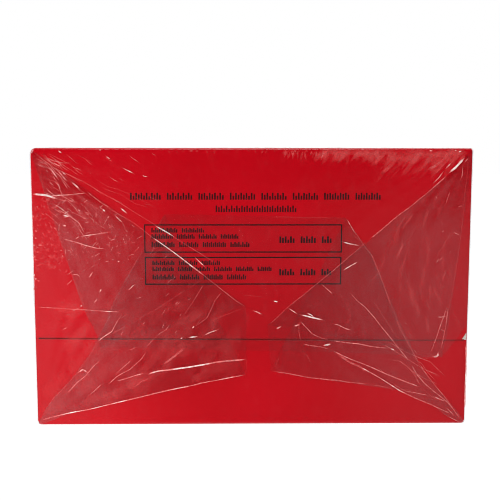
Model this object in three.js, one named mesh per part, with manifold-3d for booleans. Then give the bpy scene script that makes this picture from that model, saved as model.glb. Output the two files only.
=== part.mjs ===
// Shut tea carton in a clear overwrap, lying on a long side with one folded end to the front.
// Millimetres, +Z up, the front end towards -Y, origin at the middle of the face it lies on.

import * as THREE from "three";
import { mergeVertices } from "three/addons/utils/BufferGeometryUtils.js";
import Module from "manifold-3d";

// Wrapped pack, over the film's outermost folds
const PACK_WIDTH = 145;
const PACK_HEIGHT = 93;
const PACK_LENGTH = 130;

// Film: the wall is thicker than real film, and each folded layer shows as a step
const FILM_WALL = 0.4;
const FILM_GAP = 0.3;
const FILM_EDGE_RADIUS = 1.7;
const FOLD_STEP = 0.3;
const VENT_RADIUS = 1.3;

// Lap seam: the film's long edge, sealed over itself along the left side
const LAP_WIDTH = 13;
const LAP_LOWER_EDGE = -6;

// Carton: two glued flaps close each end, and the outer one stops short of the lower edge
const BOARD = 0.5;
const CARTON_EDGE_RADIUS = 1;
const OUTER_FLAP_EDGE = -17;
const FLAP_SIDE_INSET = 0.6;

// Envelope folds, corner by corner. The crease and the ear are angles in degrees, the crease
// measured from the level edge. The tuck and the side are how far the film reaches over the end.
const CORNERS = {
  topLeft: { toX: -1, toY: 1, crease: 36.6, ear: 36.3, tuck: 66, side: 70.5 },
  topRight: { toX: 1, toY: 1, crease: 41, ear: 42.6, tuck: 69.2, side: 67.4 },
  lowerLeft: { toX: -1, toY: -1, crease: 13.7, ear: 44.8, tuck: 71.4, side: 70.5 },
  lowerRight: { toX: 1, toY: -1, crease: 15.7, ear: 43.5, tuck: 70.2, side: 66.3 },
};

// Round edges and corners
const ROUND_STEPS = 3;
const CORNER_TO_EDGE = 1.2;
const OVERLAP = 0.2;

const FOLDS_HEIGHT = 2 * FOLD_STEP;
const SKIN_LENGTH = PACK_LENGTH - 2 * FOLDS_HEIGHT;
const CARTON_SIZE = [
  PACK_WIDTH - 2 * (FILM_WALL + FILM_GAP),
  PACK_HEIGHT - 2 * (FILM_WALL + FILM_GAP),
  SKIN_LENGTH - 2 * (FILM_WALL + FILM_GAP),
];

const wasm = await Module();
wasm.setup();

// Closed geometry to solid, for joining and cutting
function solidOf(geometry) {
  geometry.deleteAttribute("normal");
  geometry.deleteAttribute("uv");
  const merged = mergeVertices(geometry);
  return new wasm.Manifold(
    new wasm.Mesh({
      numProp: 3,
      vertProperties: new Float32Array(merged.attributes.position.array),
      triVerts: new Uint32Array(merged.index.array),
    }),
  );
}

// Solid back to geometry
function geometryOf(solid) {
  const { vertProperties, triVerts } = solid.getMesh();
  const geometry = new THREE.BufferGeometry();
  geometry.setAttribute("position", new THREE.BufferAttribute(vertProperties, 3));
  geometry.setIndex(new THREE.BufferAttribute(triVerts, 1));
  geometry.computeVertexNormals();
  return geometry;
}

// Block centred on the origin, its length along Z, with every edge and corner rounded
function roundedBlock(width, height, length, radius) {
  const corner = radius * CORNER_TO_EDGE;
  const x = width / 2 - corner;
  const y = height / 2 - corner;
  const outline = new THREE.Shape();
  outline.absarc(x, y, corner, 0, Math.PI / 2);
  outline.absarc(-x, y, corner, Math.PI / 2, Math.PI);
  outline.absarc(-x, -y, corner, Math.PI, (3 * Math.PI) / 2);
  outline.absarc(x, -y, corner, (3 * Math.PI) / 2, 2 * Math.PI);
  const depth = length - 2 * radius;
  const geometry = new THREE.ExtrudeGeometry(outline, {
    depth,
    curveSegments: ROUND_STEPS,
    bevelSize: radius,
    bevelThickness: radius,
    bevelOffset: -radius,
    bevelSegments: ROUND_STEPS,
  });
  return solidOf(geometry.translate(0, 0, -depth / 2));
}

// Box between two opposite corners
function boxBetween(low, high) {
  const size = high.map((value, axis) => value - low[axis]);
  const middle = high.map((value, axis) => (value + low[axis]) / 2);
  return solidOf(new THREE.BoxGeometry(...size).translate(...middle));
}

// Outline in the plane of the end, raised from one level to another
function plate(points, from, to) {
  const outline = new THREE.Shape(points);
  const geometry = new THREE.ExtrudeGeometry(outline, { depth: to - from, bevelEnabled: false });
  return solidOf(geometry.translate(0, 0, from));
}

const turnedToBack = (solid) => solid.mirror([0, 0, 1]);

// Carton body, with the steps that its flaps leave at one end
function endCuts() {
  const [width, height, length] = CARTON_SIZE;
  const end = length / 2;
  const belowOuterFlap = boxBetween(
    [-width, -height, end - BOARD],
    [width, OUTER_FLAP_EDGE, end + BOARD],
  );
  const besideFlaps = [-1, 1].map((side) => {
    const inner = side * (width / 2 - FLAP_SIDE_INSET);
    const outer = side * width;
    return boxBetween(
      [Math.min(inner, outer), -height, end - 2 * BOARD],
      [Math.max(inner, outer), height, end + BOARD],
    );
  });
  return besideFlaps.reduce((cuts, cut) => cuts.add(cut), belowOuterFlap);
}

function cartonSolid() {
  const cuts = endCuts();
  return roundedBlock(...CARTON_SIZE, CARTON_EDGE_RADIUS).subtract(cuts).subtract(turnedToBack(cuts));
}

// The three points of a corner's fold: the pack's corner, the side flap's free end on the
// crease, and the tip where the tuck's free edge turns back
function foldOf({ toX, toY, crease, ear, tuck, side }) {
  const corner = new THREE.Vector2((toX * PACK_WIDTH) / 2, (toY * PACK_HEIGHT) / 2);
  const inward = (x, y) => new THREE.Vector2(corner.x - toX * x, corner.y - toY * y);
  const slope = (degrees) => Math.tan(THREE.MathUtils.degToRad(degrees));
  return {
    corner,
    knee: inward(side, side * slope(crease)),
    tip: inward(tuck / slope(crease + ear), tuck),
  };
}

// Folded layers at one end: two side flaps over the tucks, raised where an ear lies under them
function endFolds() {
  const folds = Object.fromEntries(Object.entries(CORNERS).map(([name, corner]) => [name, foldOf(corner)]));
  const { topLeft, topRight, lowerLeft, lowerRight } = folds;
  const skin = SKIN_LENGTH / 2;
  const flaps = [
    [topLeft.corner, lowerLeft.corner, lowerLeft.knee, topLeft.knee],
    [topRight.corner, topRight.knee, lowerRight.knee, lowerRight.corner],
  ].map((points) => plate(points, skin - OVERLAP, skin + FOLD_STEP));
  const ears = Object.values(folds).map(({ corner, knee, tip }) =>
    plate([corner, knee, tip], skin - OVERLAP, skin + FOLDS_HEIGHT),
  );
  return [...flaps, ...ears].reduce((layers, layer) => layers.add(layer));
}

function lapStrip() {
  const side = -PACK_WIDTH / 2;
  const end = SKIN_LENGTH / 2 - FILM_EDGE_RADIUS;
  return boxBetween(
    [side - FOLD_STEP, LAP_LOWER_EDGE, -end],
    [side + OVERLAP, LAP_LOWER_EDGE + LAP_WIDTH, end],
  );
}

// Small gap in the film at each corner, where its folds meet
function cornerVents() {
  const at = [PACK_WIDTH, PACK_HEIGHT, SKIN_LENGTH].map((size) => size / 2 - FILM_EDGE_RADIUS / 2);
  const vents = [];
  for (const x of [-1, 1]) {
    for (const y of [-1, 1]) {
      for (const z of [-1, 1]) {
        const ball = new THREE.IcosahedronGeometry(VENT_RADIUS, 1);
        vents.push(solidOf(ball.translate(x * at[0], y * at[1], z * at[2])));
      }
    }
  }
  return vents.reduce((all, vent) => all.add(vent));
}

function filmSolid() {
  const skin = roundedBlock(PACK_WIDTH, PACK_HEIGHT, SKIN_LENGTH, FILM_EDGE_RADIUS);
  const envelope = roundedBlock(PACK_WIDTH, PACK_HEIGHT, PACK_LENGTH, FILM_EDGE_RADIUS);
  const folds = endFolds().intersect(envelope);
  const inside = roundedBlock(
    PACK_WIDTH - 2 * FILM_WALL,
    PACK_HEIGHT - 2 * FILM_WALL,
    SKIN_LENGTH - 2 * FILM_WALL,
    FILM_EDGE_RADIUS - FILM_WALL,
  );
  return skin
    .add(folds)
    .add(turnedToBack(folds))
    .add(lapStrip())
    .subtract(inside)
    .subtract(cornerVents());
}

const carton = new THREE.Mesh(
  geometryOf(cartonSolid()),
  new THREE.MeshStandardMaterial({ color: 0xd1020f, roughness: 0.35, metalness: 0 }),
);
carton.name = "carton";

const filmWrap = new THREE.Mesh(
  geometryOf(filmSolid()),
  new THREE.MeshStandardMaterial({
    color: 0xf4f6f8,
    roughness: 0.08,
    metalness: 0,
    transparent: true,
    opacity: 0.2,
  }),
);
filmWrap.name = "film_wrap";

// The pack is shaped end-on, its length along Z, and then laid down with that end to the front
const pack = new THREE.Group();
pack.add(carton, filmWrap);
pack.rotation.x = Math.PI / 2;
pack.position.z = PACK_HEIGHT / 2;

const object = new THREE.Group();
object.add(pack);

export default object;
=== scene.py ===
import math

import bmesh
import bpy
import numpy as np
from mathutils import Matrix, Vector


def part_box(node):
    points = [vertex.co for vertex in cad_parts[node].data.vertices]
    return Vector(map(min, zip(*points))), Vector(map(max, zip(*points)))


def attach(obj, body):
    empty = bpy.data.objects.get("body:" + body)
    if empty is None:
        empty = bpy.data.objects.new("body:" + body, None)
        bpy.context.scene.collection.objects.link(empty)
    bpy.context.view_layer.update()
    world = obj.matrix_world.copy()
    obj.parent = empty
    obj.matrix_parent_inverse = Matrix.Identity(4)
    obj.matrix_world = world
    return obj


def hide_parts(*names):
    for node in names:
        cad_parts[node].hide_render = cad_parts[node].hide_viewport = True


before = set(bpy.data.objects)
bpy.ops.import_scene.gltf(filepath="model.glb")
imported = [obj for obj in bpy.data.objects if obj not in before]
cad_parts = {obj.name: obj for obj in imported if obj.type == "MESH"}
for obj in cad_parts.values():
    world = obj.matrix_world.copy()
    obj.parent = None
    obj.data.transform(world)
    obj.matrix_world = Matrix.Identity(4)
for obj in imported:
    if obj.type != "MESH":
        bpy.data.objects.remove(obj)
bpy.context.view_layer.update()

# Viewpoint
# The pack is looked at end-on, from close in front of it and level with its top edge. The same
# camera turns a pixel of the photograph into a point on the pack's front end.
MM = 0.001
IMAGE_PX = 500
SENSOR_MM = 36
LENS_MM = 60.5
CAMERA_AT = Vector((-4.8, -339.6, 91.7)) * MM
CAMERA_DOWN_DEG, CAMERA_ROLL_DEG, CAMERA_TURN_DEG = 6.66, -0.05, -0.84

bpy.ops.object.camera_add(
    location=CAMERA_AT,
    rotation=np.radians((90 - CAMERA_DOWN_DEG, CAMERA_ROLL_DEG, CAMERA_TURN_DEG)),
)
camera = bpy.context.object
camera.name = "viewpoint"
camera.data.sensor_width = SENSOR_MM
camera.data.lens = LENS_MM
bpy.context.scene.camera = camera

PIXEL_TO_RAY = SENSOR_MM / IMAGE_PX / LENS_MM
CAMERA_TURNED = camera.rotation_euler.to_matrix()


def under_pixel(pixel, depth):
    """(across, up) in mm of the point under a pixel, on the upright plane at that depth in mm."""
    x, y = ((value - IMAGE_PX / 2) * PIXEL_TO_RAY for value in pixel)
    ray = CAMERA_TURNED @ Vector((x, -y, -1))
    point = CAMERA_AT + ray * ((depth * MM - CAMERA_AT.y) / ray.y)
    return point.x / MM, point.z / MM


# Carton
# A folded box of coated board, printed red all over. At each end two wide flaps are glued shut
# over narrow side flaps, and the outer one stops short, so its cut edge shows across the end.
# It fills the room that the film's solid takes, which is thicker than real film.
FILM_ROOM_MM = 0.6
END_EDGE_MM = 0.55
ROUND_SEGMENTS, END_EDGE_SEGMENTS = 5, 3
BOARD_MM = 0.5
FLAP_EDGE_UP_MM, FLAP_LEAN_DEG = 29.5, 0.39
FLAP_INSET_MM = 0.35
GROOVE_MM, GROOVE_DEEP_MM, GROOVE_SKEW_DEG = 0.5, 1.06, 0.26
GROOVE_LEFT_MM, GROOVE_RIGHT_MM, GROOVE_LAP_MM = 1.2, 1.0, 0.15
CUT_EDGE_MM, CUT_EDGE_DEG = 0.16, 50
CARTON_SMOOTH_DEG = 35
NEAR_MM, OUTSIDE_MM = 0.01, 10
RED, DEEP_RED = (0.640, 0.0011, 0.0095, 1), (0.585, 0.0009, 0.0075, 1)
CUT_PALE, CUT_GREY = (0.46, 0.24, 0.21, 1), (0.34, 0.13, 0.12, 1)
TORN_PALE, TORN_GREY = (0.86, 0.80, 0.72, 1), (0.60, 0.53, 0.46, 1)

# How round each long edge is, by its side, left or right, and low or high
ROUND_MM = {(-1, 1): 2.0, (1, 1): 0.8, (1, -1): 1.3, (-1, -1): 1.4}

carton_low, carton_high = (np.array(corner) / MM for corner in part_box("carton"))
carton_low[[0, 2]] -= FILM_ROOM_MM
carton_high[[0, 2]] += FILM_ROOM_MM
END_MM = carton_high[1]
MIDDLE_UP = (carton_low[2] + carton_high[2]) / 2


class Wire:
    """One output of a material's nodes. Arithmetic on it adds Math nodes."""

    def __init__(self, tree, socket=None):
        self.tree = tree
        self.socket = socket

    def add(self, kind, settings, sockets, output=0):
        node = self.tree.nodes.new(kind)
        for name, value in settings.items():
            setattr(node, name, value)
        for name, value in sockets.items():
            if isinstance(value, Wire):
                self.tree.links.new(value.socket, node.inputs[name])
            else:
                node.inputs[name].default_value = value
        return Wire(self.tree, node.outputs[output])

    def maths(self, operation, first, second):
        return self.add("ShaderNodeMath", {"operation": operation}, {0: first, 1: second})

    def __add__(self, other):
        return self.maths("ADD", self, other)

    def __sub__(self, other):
        return self.maths("SUBTRACT", self, other)

    def __rsub__(self, other):
        return self.maths("SUBTRACT", other, self)

    def __mul__(self, other):
        return self.maths("MULTIPLY", self, other)

    def __pow__(self, other):
        return self.maths("POWER", self, other)

    def __abs__(self):
        return self.maths("ABSOLUTE", self, 0)

    __radd__ = __add__
    __rmul__ = __mul__

    def place(self):
        return self.add("ShaderNodeTexCoord", {}, {}, "Object")

    def along(self, way):
        """How far this place or direction reaches along a way."""
        sockets = {0: self, 1: way}
        return self.add("ShaderNodeVectorMath", {"operation": "DOT_PRODUCT"}, sockets, "Value")

    def away_from(self, point):
        sockets = {0: self, 1: point}
        return self.add("ShaderNodeVectorMath", {"operation": "DISTANCE"}, sockets, "Value")

    def stretched(self, factors):
        return self.add("ShaderNodeMapping", {}, {"Vector": self, "Scale": factors})

    def noise(self, scale, detail, roughness=0.5):
        sockets = {"Vector": self, "Scale": scale, "Detail": detail, "Roughness": roughness}
        return self.add("ShaderNodeTexNoise", {}, sockets, "Fac")

    def between(self, low, high):
        """0 under low, 1 over high and smooth between."""
        sockets = {"Value": self, "From Min": low, "From Max": high}
        return self.add("ShaderNodeMapRange", {"interpolation_type": "SMOOTHSTEP"}, sockets)

    def blend(self, first, second):
        """Colour that goes from the first to the second as this goes from 0 to 1."""
        return self.add("ShaderNodeMix", {"data_type": "RGBA"}, {0: self, 6: first, 7: second}, 2)

    def bump(self, strength, depth):
        sockets = {"Height": self, "Strength": strength, "Distance": depth}
        return self.add("ShaderNodeBump", {}, sockets)


def new_finish(name):
    """A material with nothing in it yet, and a wire to build on."""
    finish = bpy.data.materials.new(name)
    finish.use_nodes = True
    finish.node_tree.nodes.clear()
    return finish, Wire(finish.node_tree)


def close_finish(bench, shader):
    output = bench.tree.nodes.new("ShaderNodeOutputMaterial")
    bench.tree.links.new(shader.socket, output.inputs["Surface"])


def red_board():
    finish, bench = new_finish("red_coated_board")
    place = bench.place()
    blotch = place.noise(scale=26, detail=3)
    fibre = place.stretched((1, 1, 0.4)).noise(scale=1500, detail=2)
    sockets = {
        "Base Color": blotch.between(0.3, 0.7).blend(DEEP_RED, RED),
        "Roughness": 0.36 + 0.1 * blotch,
        "Specular IOR Level": 0.04,
        "Normal": fibre.bump(strength=0.08, depth=0.05 * MM),
    }
    close_finish(bench, bench.add("ShaderNodeBsdfPrincipled", {}, sockets))
    return finish


def raw_board(name, grey, pale):
    finish, bench = new_finish(name)
    fibre = bench.place().stretched((1, 1, 6)).noise(scale=900, detail=4)
    sockets = {
        "Base Color": fibre.between(0.3, 0.7).blend(grey, pale),
        "Roughness": 0.9,
        "Normal": fibre.bump(strength=0.4, depth=0.1 * MM),
    }
    close_finish(bench, bench.add("ShaderNodeBsdfPrincipled", {}, sockets))
    return finish


def block(name, low, high):
    """A cube between two corners in mm, its place in its mesh."""
    low, high = np.array(low) * MM, np.array(high) * MM
    bpy.ops.mesh.primitive_cube_add(size=1, location=(low + high) / 2, scale=high - low)
    bpy.ops.object.transform_apply(location=True, rotation=True, scale=True)
    bpy.context.object.name = name
    return bpy.context.object


def make_active(piece):
    bpy.ops.object.select_all(action="DESELECT")
    piece.select_set(True)
    bpy.context.view_layer.objects.active = piece


def with_modifier(piece, kind, **settings):
    """Adds a modifier, sets it and applies it."""
    make_active(piece)
    bpy.ops.object.modifier_add(type=kind)
    modifier = piece.modifiers[-1]
    for name, value in settings.items():
        setattr(modifier, name, value)
    bpy.ops.object.modifier_apply(modifier=modifier.name)


def cut_with(piece, cutter):
    with_modifier(piece, "BOOLEAN", operation="DIFFERENCE", object=cutter, solver="EXACT")
    bpy.data.objects.remove(cutter)


def cut_away(piece, low, high, lean=0, skew=0):
    """Takes away the block between two corners in mm, tipped and turned by angles in degrees."""
    cutter = block("cutter", np.minimum(low, high), np.maximum(low, high))
    cutter.rotation_euler.y = math.radians(lean)
    cutter.rotation_euler.z = math.radians(skew)
    cut_with(piece, cutter)


def bevel_where(piece, wanted, radius, segments):
    """In edit mode, rounds the edges whose two ends both pass a test on their place in mm."""
    bpy.ops.mesh.select_mode(type="EDGE")
    bpy.ops.mesh.select_all(action="DESELECT")
    shape = bmesh.from_edit_mesh(piece.data)
    for edge in shape.edges:
        edge.select_set(all(wanted(vertex.co / MM) for vertex in edge.verts))
    bmesh.update_edit_mesh(piece.data)
    bpy.ops.mesh.bevel(offset=radius * MM, segments=segments, affect="EDGES")


carton = block("carton_board", carton_low, carton_high)
corners_at = {-1: carton_low, 1: carton_high}
bpy.ops.object.mode_set(mode="EDIT")
for (to_x, to_up), radius in ROUND_MM.items():
    edge_x, edge_up = corners_at[to_x][0], corners_at[to_up][2]
    bevel_where(
        carton,
        lambda at: abs(at.x - edge_x) < NEAR_MM and abs(at.z - edge_up) < NEAR_MM,
        radius,
        ROUND_SEGMENTS,
    )
for way in (-1, 1):
    bevel_where(
        carton,
        lambda at: abs(at.y - way * END_MM) < NEAR_MM,
        END_EDGE_MM,
        END_EDGE_SEGMENTS,
    )
bpy.ops.object.mode_set(mode="OBJECT")

left, right = carton_low[0], carton_high[0]
bottom, top = carton_low[2] - OUTSIDE_MM, carton_high[2] + OUTSIDE_MM
for way in (-1, 1):
    out = way * (END_MM + OUTSIDE_MM)
    below = way * (END_MM - BOARD_MM)
    under = way * (END_MM - 2 * BOARD_MM)
    cut_away(
        carton,
        (left - OUTSIDE_MM, below, bottom),
        (right + OUTSIDE_MM, out, FLAP_EDGE_UP_MM),
        FLAP_LEAN_DEG,
    )
    cut_away(carton, (left - OUTSIDE_MM, under, bottom), (left + FLAP_INSET_MM, out, top))
    cut_away(carton, (right - FLAP_INSET_MM, under, bottom), (right + OUTSIDE_MM, out, top))
    cut_away(
        carton,
        (left + GROOVE_LEFT_MM, way * (END_MM - GROOVE_DEEP_MM), FLAP_EDGE_UP_MM - GROOVE_MM),
        (right - GROOVE_RIGHT_MM, out, FLAP_EDGE_UP_MM + GROOVE_LAP_MM),
        FLAP_LEAN_DEG,
        way * GROOVE_SKEW_DEG,
    )

# The outer flap's lower right corner is torn down to its raw board
CHIP_FROM_PX, CHIP_TO_PX = (461.5, 339.5), (467.5, 331)
CHIP_DEEP_MM = 0.3
CHIP_BLOCK_MM = 8
chip_from, chip_to = (np.array(under_pixel(pixel, -END_MM)) for pixel in (CHIP_FROM_PX, CHIP_TO_PX))
chip_way = chip_to - chip_from
chip_side = np.array((chip_way[1], -chip_way[0])) / np.hypot(*chip_way)
chip_x, chip_up = (chip_from + chip_to) / 2 + chip_side * CHIP_BLOCK_MM / 2
bpy.ops.mesh.primitive_cube_add(
    size=CHIP_BLOCK_MM * MM,
    location=np.array((chip_x, CHIP_DEEP_MM - END_MM - CHIP_BLOCK_MM / 2, chip_up)) * MM,
    rotation=(0, -math.atan2(chip_way[1], chip_way[0]), 0),
)
cut_with(carton, bpy.context.object)
with_modifier(
    carton,
    "BEVEL",
    width=CUT_EDGE_MM * MM,
    segments=1,
    limit_method="ANGLE",
    angle_limit=math.radians(CUT_EDGE_DEG),
)

# Bare board shows on faces that are a coat's thickness deep, and clear of the carton's own edges
RED_COAT, CUT_EDGE, TORN_CORNER = range(3)
COAT_MM = 0.05
SIDE_ROOM_MM, LOW_ROOM_MM, TOP_ROOM_MM = 0.3, 2, 1.5
CHIP_ROOM_MM, CHIP_DROP_MM = 0.3, 0.8
LEVEL_FACE = 0.6


def board_at(face):
    """Which finish a face of the carton has."""
    across, depth, up = face.center / MM
    deep = END_MM - abs(depth)
    if abs(across) > carton_high[0] - SIDE_ROOM_MM:
        return RED_COAT
    if not LOW_ROOM_MM < up < carton_high[2] - TOP_ROOM_MM:
        return RED_COAT
    by_chip = depth < 0 and across > chip_from[0] - CHIP_ROOM_MM
    by_chip = by_chip and FLAP_EDGE_UP_MM - CHIP_DROP_MM < up < chip_to[1] + CHIP_ROOM_MM
    if by_chip and COAT_MM < deep < BOARD_MM:
        return TORN_CORNER
    # Bevels along the outer flap's cut edges count as cut edge too: the pale line this gives above
    # the seam is raw board and also a painted highlight.
    if deep < 2 * BOARD_MM - COAT_MM and abs(face.normal.z) > LEVEL_FACE:
        return CUT_EDGE
    return RED_COAT


carton.data.materials.append(red_board())
carton.data.materials.append(raw_board("cut_board_edge", CUT_GREY, CUT_PALE))
carton.data.materials.append(raw_board("torn_board", TORN_GREY, TORN_PALE))
for face in carton.data.polygons:
    face.material_index = board_at(face)
make_active(carton)
bpy.ops.object.shade_smooth_by_angle(angle=math.radians(CARTON_SMOOTH_DEG))
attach(carton, "root")
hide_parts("carton")

# Printed panel
# Two ruled frames with rows of small upright marks in them, and two rows of such marks over them.
# They are black ink, printed straight on the outer flap of the front end.
INK, THIN_INK = (0.030, 0.003, 0.005, 1), (0.085, 0.005, 0.008, 1)
INK_MM = 0.03
RULE_MM = 0.40

# Each frame: its upper left and its lower right corner
FRAMES = [((-35.6, 68.0), (29.7, 58.6)), ((-35.5, 57.2), (29.6, 47.9))]

# Rows of marks: how far up, or under the frame's upper edge, how high, a mark's width, the pitch of
# a pair of marks, from and to, and in how many groups
ROWS_OVER = [(77.25, 2.25, 0.50, 1.72, -40.0, 42.2, 8), (73.1, 2.15, 0.45, 1.68, -12.0, 14.4, 1)]
LARGE_ROW = (-5.1, 2.2, 0.60, 1.75, 9.0, 27.0, 3)
ROWS_IN_FRAMES = [
    [
        (-1.95, 1.5, 0.42, 1.25, -33.2, -15.8, 2),
        (-4.0, 1.5, 0.42, 1.2, -33.2, -4.8, 4),
        (-6.7, 1.7, 0.44, 1.3, -33.2, -0.9, 4),
        LARGE_ROW,
    ],
    [
        (-1.95, 1.5, 0.42, 1.25, -33.0, -10.5, 3),
        (-4.0, 1.5, 0.42, 1.2, -33.0, 6.4, 6),
        (-6.7, 1.7, 0.44, 1.3, -33.0, -1.5, 4),
        LARGE_ROW,
    ],
]
SHORTER_BY = (0.15, 0.5)
SEEDS_PER_MM = 100


def black_ink():
    finish, bench = new_finish("black_ink")
    speckle = bench.place().noise(scale=2500, detail=2)
    sockets = {
        "Base Color": speckle.between(0.55, 0.8).blend(INK, THIN_INK),
        "Roughness": 0.45,
        "Specular IOR Level": 0.12,
    }
    close_finish(bench, bench.add("ShaderNodeBsdfPrincipled", {}, sockets))
    return finish


def ruled_frame(left, right, low, high):
    middle = ((left + right) / 2 * MM, -END_MM * MM, (low + high) / 2 * MM)
    bpy.ops.mesh.primitive_plane_add(size=1, location=middle, rotation=(math.radians(90), 0, 0))
    field = bpy.context.object
    field.scale = ((right - left) * MM, (high - low) * MM, 1)
    bpy.ops.object.transform_apply(location=True, rotation=True, scale=True)
    bpy.ops.object.mode_set(mode="EDIT")
    bpy.ops.mesh.select_all(action="SELECT")
    bpy.ops.mesh.inset(thickness=RULE_MM * MM)
    bpy.ops.mesh.delete(type="FACE")
    bpy.ops.mesh.select_all(action="SELECT")
    bpy.ops.mesh.extrude_region_move(TRANSFORM_OT_translate={"value": (0, -INK_MM * MM, 0)})
    bpy.ops.object.mode_set(mode="OBJECT")
    return field


def marks(up, height, width, pitch, left, right, groups):
    """A row of small upright marks, every second one shorter: the edges of each."""
    draw = np.random.default_rng(round(SEEDS_PER_MM * (up + right)))
    count = round((right - left) / pitch)
    gaps = {round(count * (group + 1) / groups) for group in range(groups - 1)}
    low, high = up - height / 2, up + height / 2
    for step in range(count):
        if step not in gaps:
            first = left + step * pitch
            second = first + pitch / 2
            yield first, first + width, low, high
            yield second, second + width, low, high - draw.uniform(*SHORTER_BY) * height


def piece_from(name, points, faces):
    """A new piece from its points in mm and its faces."""
    mesh = bpy.data.meshes.new(name)
    mesh.from_pydata(np.array(points) * MM, [], faces)
    piece = bpy.data.objects.new(name, mesh)
    bpy.context.scene.collection.objects.link(piece)
    return piece


def face_outwards(piece):
    """Turns all the faces of a closed mesh outwards."""
    make_active(piece)
    bpy.ops.object.mode_set(mode="EDIT")
    bpy.ops.mesh.select_all(action="SELECT")
    bpy.ops.mesh.normals_make_consistent(inside=False)
    bpy.ops.object.mode_set(mode="OBJECT")


def mark_blocks(edges):
    """Many flat blocks of ink on the front end, as one mesh."""
    vertices, faces = [], []
    for mark_left, mark_right, low, high in edges:
        first = len(vertices)
        for depth in (-END_MM, -END_MM - INK_MM):
            vertices += [(mark_left, depth, low), (mark_right, depth, low)]
            vertices += [(mark_right, depth, high), (mark_left, depth, high)]
        sides = [(0, 1, 2, 3), (7, 6, 5, 4), (1, 0, 4, 5), (2, 1, 5, 6), (3, 2, 6, 7), (0, 3, 7, 4)]
        faces += [tuple(first + corner for corner in side) for side in sides]
    return piece_from("marks", vertices, faces)


all_marks = [mark for row in ROWS_OVER for mark in marks(*row)]
for ((_, frame_top), _), rows in zip(FRAMES, ROWS_IN_FRAMES):
    for drop, *row in rows:
        all_marks += marks(frame_top + drop, *row)
fields = [mark_blocks(all_marks)]
fields += [ruled_frame(near[0], far[0], far[1], near[1]) for near, far in FRAMES]
make_active(fields[0])
for field in fields:
    field.select_set(True)
bpy.ops.object.join()
printed = bpy.context.object
printed.name = "printed_panel"
face_outwards(printed)
printed.data.materials.append(black_ink())
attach(printed, "root")

# Film sleeve
# Clear plastic film drawn once round the carton's four long sides and sealed to itself, one long
# edge lapped over the other along the left side. It lies close on the board, with slack ripples.
FILM_MM, FILM_GAP_MM = 0.04, 0.08
LAP_MM, LAP_LOW_UP_MM, LAP_LIFT_MM = 13, 40.5, 0.1
LIP_MM, FOLD_ROOM_MM = 0.65, 0.3
SLEEVE_STEP_MM, CORNER_STEPS = 1.6, 6
SLEEVE_SLACK_MM, SLEEVE_FADE_MM, TOP_FADE_MM = 0.05, 6, 90
FACING_UP, FACING_DOWN = 0.5, -0.9
FILM_SMOOTH_DEG = 60
SHINE, GRAZING_SHINE = 0.078, 0.3
HAZE, SCUFF_HAZE = 0.0003, 0.006
CLEAR, UNTINTED, MILK = (0.985, 0.985, 0.99, 1), (1, 1, 1, 1), (0.86, 0.86, 0.90, 1)

HALF_WIDE = carton_high[0] + FILM_GAP_MM
HALF_HIGH = carton_high[2] - MIDDLE_UP + FILM_GAP_MM
SLEEVE_END = END_MM + FOLD_ROOM_MM - LIP_MM
FILM_ROUND = {corner: radius + FILM_GAP_MM for corner, radius in ROUND_MM.items()}


def ripples(seed, count, shortest, longest, steepness):
    """Slack waves over a flat sheet: a function of two lengths in mm."""
    draw = np.random.default_rng(seed)
    lengths = draw.uniform(shortest, longest, count)
    ways = draw.uniform(0, math.pi, count)
    starts = draw.uniform(0, 2 * math.pi, count)

    def height(across, up):
        total = np.zeros_like(across)
        for length, way, start in zip(lengths, ways, starts):
            along = across * math.cos(way) + up * math.sin(way)
            total += steepness * length * np.sin(2 * math.pi * along / length + start)
        return total

    return height


def clear_film():
    finish, bench = new_finish("clear_film")
    place = bench.place()
    lumps = place.noise(scale=240, detail=2, roughness=0.6).bump(strength=0.10, depth=0.4 * MM)
    facing = bench.add("ShaderNodeLayerWeight", {}, {"Blend": 0.5, "Normal": lumps}, "Facing")
    shine = bench.add("ShaderNodeBsdfGlossy", {}, {"Roughness": 0.08, "Normal": lumps})
    through = bench.add("ShaderNodeBsdfTransparent", {}, {"Color": CLEAR})
    gloss = SHINE + GRAZING_SHINE * facing**5
    film = bench.add("ShaderNodeMixShader", {}, {0: gloss, 1: through, 2: shine})
    scuffs = place.stretched((1, 1, 0.4)).noise(scale=330, detail=3, roughness=0.65)
    haze = HAZE + SCUFF_HAZE * scuffs.between(0.5, 0.8)
    milk = bench.add("ShaderNodeBsdfDiffuse", {}, {"Color": MILK})
    close_finish(bench, bench.add("ShaderNodeMixShader", {}, {0: haze, 1: film, 2: milk}))
    return finish


def film_inside():
    """The film's inner face and rim: its outer face already carries the shine of both."""
    finish, bench = new_finish("film_inside")
    close_finish(bench, bench.add("ShaderNodeBsdfTransparent", {}, {"Color": UNTINTED}))
    return finish


def grid_of(name, across, along):
    """A grid with its lines at these stations, and each vertex's two stations."""
    bpy.ops.mesh.primitive_grid_add(
        x_subdivisions=len(across) - 1, y_subdivisions=len(along) - 1, size=2
    )
    sheet = bpy.context.object
    sheet.name = name
    at = points_of(sheet)
    column = np.rint((at[:, 0] + 1) / 2 * (len(across) - 1)).astype(int)
    row = np.rint((at[:, 1] + 1) / 2 * (len(along) - 1)).astype(int)
    return sheet, np.asarray(across)[column], np.asarray(along)[row]


def points_of(piece):
    """A mesh's vertices, as rows of x, y, z."""
    flat = np.empty(len(piece.data.vertices) * 3)
    piece.data.vertices.foreach_get("co", flat)
    return flat.reshape(-1, 3)


def set_points(piece, points):
    piece.data.vertices.foreach_set("co", np.asarray(points).ravel())
    piece.data.update()


def finish_film(sheet):
    """Gives a sheet its thickness and finish, and fixes it to the pack."""
    sheet.data.materials.append(film_finish)
    sheet.data.materials.append(film_inner)
    with_modifier(
        sheet,
        "SOLIDIFY",
        thickness=FILM_MM * MM,
        offset=0,
        material_offset=1,
        material_offset_rim=1,
    )
    bpy.ops.object.shade_smooth_by_angle(angle=math.radians(FILM_SMOOTH_DEG))
    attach(sheet, "root")


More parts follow.
